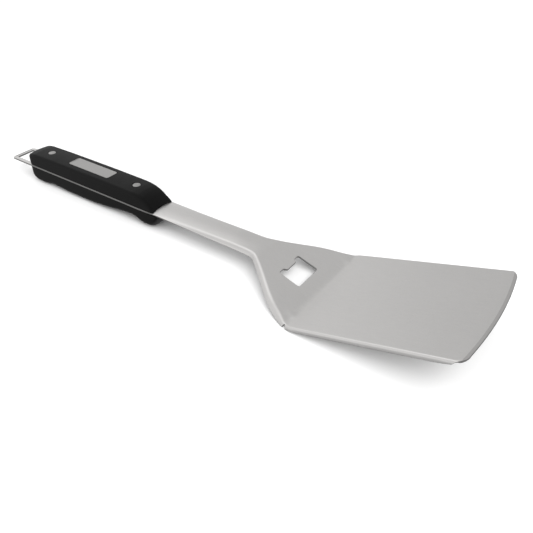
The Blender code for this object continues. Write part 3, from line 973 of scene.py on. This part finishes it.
def finish_shader(graph, shader, colour, roughness, relief, strength, depth):
    """Link colour, roughness and a bump whose relief is depth metres high."""
    bump = graph.add("ShaderNodeBump", {
        "Height": relief, "Strength": strength, "Distance": depth,
    })
    graph.tree.links.new(colour, shader.inputs["Base Color"])
    graph.tree.links.new(roughness, shader.inputs["Roughness"])
    graph.tree.links.new(bump.outputs["Normal"], shader.inputs["Normal"])


def brushed_steel(name, shade, rough, along, shade_cut_edges=False):
    """Satin steel whose scratches run along X ("x") or Y ("y"), with painted shade on its cut
    edges if asked.
    """
    material, graph, shader = new_material(name)
    shader.inputs["Metallic"].default_value = 1.0
    fine = (90, 3600, 3600) if along == "x" else (3600, 90, 3600)
    broad = (16, 520, 520) if along == "x" else (520, 16, 520)
    scratches = graph.noise(fine, 4.0, 0.7)
    streaks = graph.noise(broad, 3.0, 0.6)
    clouds = graph.noise((26, 26, 26), 2.0, 0.5)
    colour = graph.mix(graph.spread(scratches, 0.0, 1.0), grey(shade * 0.95, STEEL_WARMTH),
                       grey(shade * 1.05, STEEL_WARMTH))
    streaked = graph.mix(graph.spread(streaks, 0.0, 1.0), grey(0.975), grey(1.0))
    colour = graph.mix(1.0, colour, streaked, "MULTIPLY")
    roughness = graph.spread(clouds, rough - 0.025, rough + 0.025)
    roughness = graph.math("ADD", roughness, graph.spread(scratches, -0.03, 0.03))
    # Cut edges get a darker colour, painted shade for the shadowed floor they reflect; they
    # are also made rougher
    if shade_cut_edges:
        painted_edge_shade = graph.add("ShaderNodeAttribute", attribute_name="painted_edge_shade").outputs["Fac"]
        colour = graph.mix(graph.math("MULTIPLY", painted_edge_shade, 0.6), colour, grey(0.1, 0.005))
        roughness = graph.math("ADD", roughness, graph.math("MULTIPLY", painted_edge_shade, 0.12))
    finish_shader(graph, shader, colour, roughness, scratches, 0.12, 0.00002)
    return material


def moulded_black(name, shade):
    """Matte black plastic with a very fine moulded grain."""
    material, graph, shader = new_material(name)
    shader.inputs["IOR"].default_value = 1.45
    shader.inputs["Specular IOR Level"].default_value = 0.145
    grain = graph.noise((2600, 2600, 2600), 2.0, 0.6)
    clouds = graph.noise((60, 60, 60), 3.0, 0.6)
    colour = graph.mix(graph.spread(clouds, 0.0, 1.0), grey(shade * 0.9), grey(shade * 1.12))
    speck = graph.mix(graph.spread(grain, 0.0, 1.0), grey(0.9), grey(1.0))
    colour = graph.mix(1.0, colour, speck, "MULTIPLY")
    roughness = graph.math("ADD", graph.spread(clouds, 0.44, 0.5),
                           graph.spread(grain, -0.04, 0.04))
    finish_shader(graph, shader, colour, roughness, grain, 0.25, 0.00003)
    return material


def adhesive_foam(name):
    """Pale foam tape: open cells under a matte skin."""
    material, graph, shader = new_material(name)
    cells = graph.noise((1800, 1800, 1800), 3.0, 0.7)
    colour = graph.mix(graph.spread(cells, 0.0, 1.0), grey(0.55, 0.03), grey(0.72, 0.03))
    roughness = graph.spread(cells, 0.75, 0.95)
    finish_shader(graph, shader, colour, roughness, cells, 0.5, 0.0001)
    return material


# --------------------------------------------------------------- floor and lights

def make_floor():
    """Plain pale floor, seen through from below so that the underside can be viewed."""
    signs = ((-1, -1), (1, -1), (1, 1), (-1, 1))
    corners = [(x * FLOOR_REACH, y * FLOOR_REACH, 0.0) for x, y in signs]
    mesh = bpy.data.meshes.new("floor")
    mesh.from_pydata(corners, [], [(0, 1, 2, 3)])
    floor = bpy.data.objects.new("floor", mesh)
    bpy.context.scene.collection.objects.link(floor)
    material = bpy.data.materials.new("pale_floor")
    material.use_nodes = True
    material.node_tree.nodes.clear()
    graph = Graph(material.node_tree)
    pale = graph.add("ShaderNodeBsdfDiffuse", {"Color": grey(0.88)})
    clear = graph.add("ShaderNodeBsdfTransparent")
    below = graph.add("ShaderNodeNewGeometry").outputs["Backfacing"]
    shader = graph.add("ShaderNodeMixShader", {
        0: below, 1: pale.outputs["BSDF"], 2: clear.outputs["BSDF"],
    })
    graph.add("ShaderNodeOutputMaterial", {"Surface": shader.outputs["Shader"]})
    mesh.materials.append(material)
    floor.visible_glossy = False


def direction_to(azimuth, elevation):
    """Unit direction; azimuth in degrees from +X towards +Y."""
    a = math.radians(azimuth)
    e = math.radians(elevation)
    return Vector((math.cos(a) * math.cos(e), math.sin(a) * math.cos(e), math.sin(e)))


def make_floor_fill():
    """Rectangular softbox that lights the floor and shows in no reflection."""
    light = bpy.data.lights.new("floor_fill", "AREA")
    light.shape = "RECTANGLE"
    light.size = FILL_WIDTH
    light.size_y = FILL_HEIGHT
    light.energy = FILL_POWER
    box = bpy.data.objects.new("floor_fill", light)
    at = direction_to(FILL_AZIMUTH, FILL_ELEVATION) * FILL_DISTANCE
    box.location = at
    box.rotation_euler = (Vector(FILL_TARGET) - at).to_track_quat("-Z", "Y").to_euler()
    box.visible_glossy = False
    bpy.context.scene.collection.objects.link(box)


def make_world():
    """Soft surround: an even level with a few broad brighter and darker areas."""
    world = bpy.data.worlds.new("studio")
    world.use_nodes = True
    tree = world.node_tree
    tree.nodes.clear()
    graph = Graph(tree)
    direction = graph.add("ShaderNodeTexCoord").outputs["Generated"]
    total = WORLD_BASE
    for azimuth, elevation, strength, tightness in WORLD_AREAS:
        facing = graph.add("ShaderNodeVectorMath",
                           {0: direction, 1: direction_to(azimuth, elevation)},
                           operation="DOT_PRODUCT").outputs["Value"]
        fall = graph.math("MULTIPLY", graph.math("SUBTRACT", facing, 1.0), tightness)
        area = graph.math("MULTIPLY", graph.math("EXPONENT", fall, 0.0), strength)
        total = graph.math("ADD", area, total)
    glow = graph.add("ShaderNodeBackground", {"Color": grey(1.0), "Strength": total})
    graph.add("ShaderNodeOutputWorld", {"Surface": glow.outputs["Background"]})
    bpy.context.scene.world = world


def make_camera():
    """Camera above the blade's near front corner, looking back along the tool."""
    camera = bpy.data.cameras.new("camera")
    camera.lens = CAMERA_LENS
    camera.sensor_width = CAMERA_SENSOR
    camera.clip_start = 0.01
    camera.clip_end = 50.0
    holder = bpy.data.objects.new("camera", camera)
    holder.location = CAMERA_AT
    pitch = math.radians(90 - CAMERA_PITCH)
    holder.rotation_euler = (pitch, 0.0, math.radians(CAMERA_AZIMUTH))
    bpy.context.scene.collection.objects.link(holder)
    bpy.context.scene.camera = holder
    view = bpy.context.scene.view_settings
    view.view_transform = "Standard"
    view.look = "None"


def place(piece, node):
    """The piece rides on the one body and stands in for its CAD node, which is hidden."""
    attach(piece, "root")
    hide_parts(node)


def main():
    """Every piece in its place, then the studio round it."""
    steel = brushed_steel("brushed_stainless", shade=0.63, rough=0.34, along="x",
                          shade_cut_edges=True)
    ground = brushed_steel("ground_edge", shade=0.50, rough=0.42, along="x",
                           shade_cut_edges=True)
    rivet_steel = brushed_steel("rivet_steel", shade=0.35, rough=0.32, along="y")
    badge_steel = brushed_steel("badge_steel", shade=0.41, rough=0.38, along="y")
    place(make_steel_body(steel, ground), "steel_body")
    upper_black = moulded_black("black_scale_upper", shade=0.0035)
    place(make_upper_scale(upper_black), "upper_handle_scale")
    # The lower scale's copy of the black is a little darker than the upper one's: painted
    # shade for the half that faces the floor
    shaded_lower_black = moulded_black("black_scale_lower", shade=0.003)
    place(make_lower_scale(shaded_lower_black), "lower_handle_scale")
    for label in RIVETS:
        pin, base = make_rivet(label, rivet_steel)
        place(pin, label + "_rivet")
        place(base, label + "_rivet_sleeve")
    place(make_badge(badge_steel), "badge_plate")
    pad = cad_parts["badge_adhesive"]
    pad.data.materials.clear()
    pad.data.materials.append(adhesive_foam("adhesive_foam"))

    make_floor()
    make_world()
    make_floor_fill()
    make_camera()


main()
